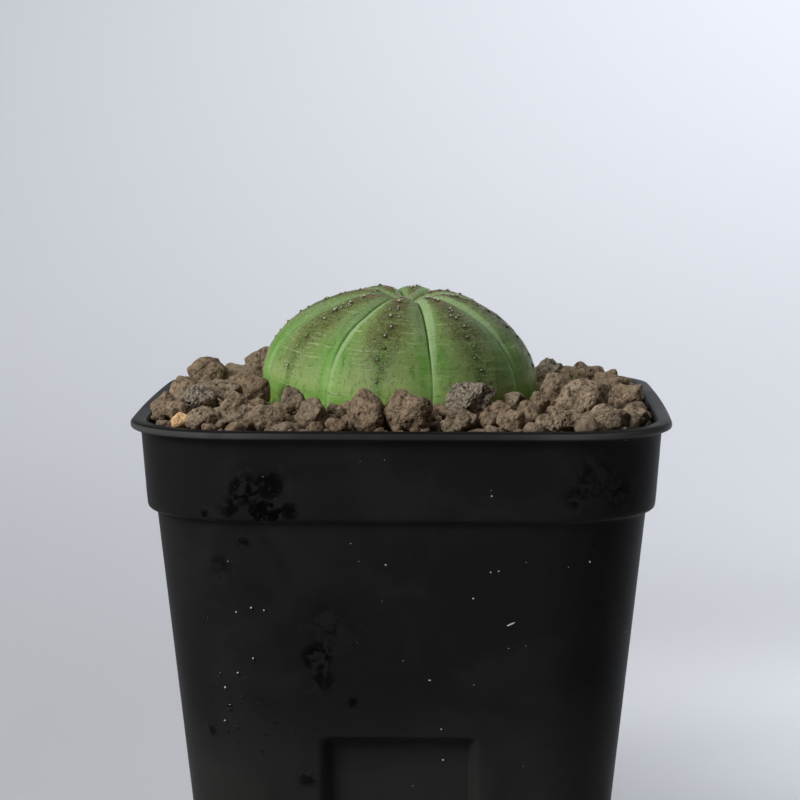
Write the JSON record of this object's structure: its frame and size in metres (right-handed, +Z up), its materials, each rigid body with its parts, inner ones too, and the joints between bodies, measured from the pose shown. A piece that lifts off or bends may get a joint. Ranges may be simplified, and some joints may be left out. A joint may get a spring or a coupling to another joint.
{
  "type": "potted baseball plant",
  "caption": "Round ribbed baseball plant half sunk in coarse brown grit, growing in a tapered black square nursery pot.",
  "frame": {"origin": "middle of the pot's footprint, on the surface that the pot stands on", "axes": "+Z up along the pot's axis; the pot's front face looks along -Y"},
  "size_m": [0.0908, 0.0908, 0.1083],
  "materials": {
    "pot": "satin black moulded polypropylene",
    "skin": "smooth waxy green plant skin, olive along the ridges",
    "grit": "dry matt brown grit",
    "stone_brown": "dry matt brown stone",
    "stone_pale": "dry matt tan stone, finely pitted",
    "stone_grey": "rough porous grey lava",
    "stone_orange": "dry matt orange clay grain"
  },
  "bodies": {
    "root": {"pot": "pot", "plant_body": "skin", "grit_bed": "grit", "loose_stone_01": "stone_brown", "loose_stone_02": "stone_brown", "loose_stone_03": "stone_grey", "loose_stone_04": "stone_pale", "loose_stone_05": "stone_brown", "loose_stone_06": "stone_pale", "loose_stone_07": "stone_brown", "loose_stone_08": "stone_pale", "loose_stone_09": "stone_brown", "loose_stone_10": "stone_brown", "loose_stone_11": "stone_grey", "loose_stone_12": "stone_brown", "loose_stone_13": "stone_brown", "loose_stone_14": "stone_brown", "loose_stone_15": "stone_pale", "loose_stone_16": "stone_orange", "loose_stone_17": "stone_brown", "loose_stone_18": "stone_brown", "loose_stone_19": "stone_pale", "loose_stone_20": "stone_pale", "loose_stone_21": "stone_brown", "loose_stone_22": "stone_pale", "loose_stone_23": "stone_brown", "loose_stone_24": "stone_brown", "loose_stone_25": "stone_brown", "loose_stone_26": "stone_grey"}
  },
  "joints": []
}
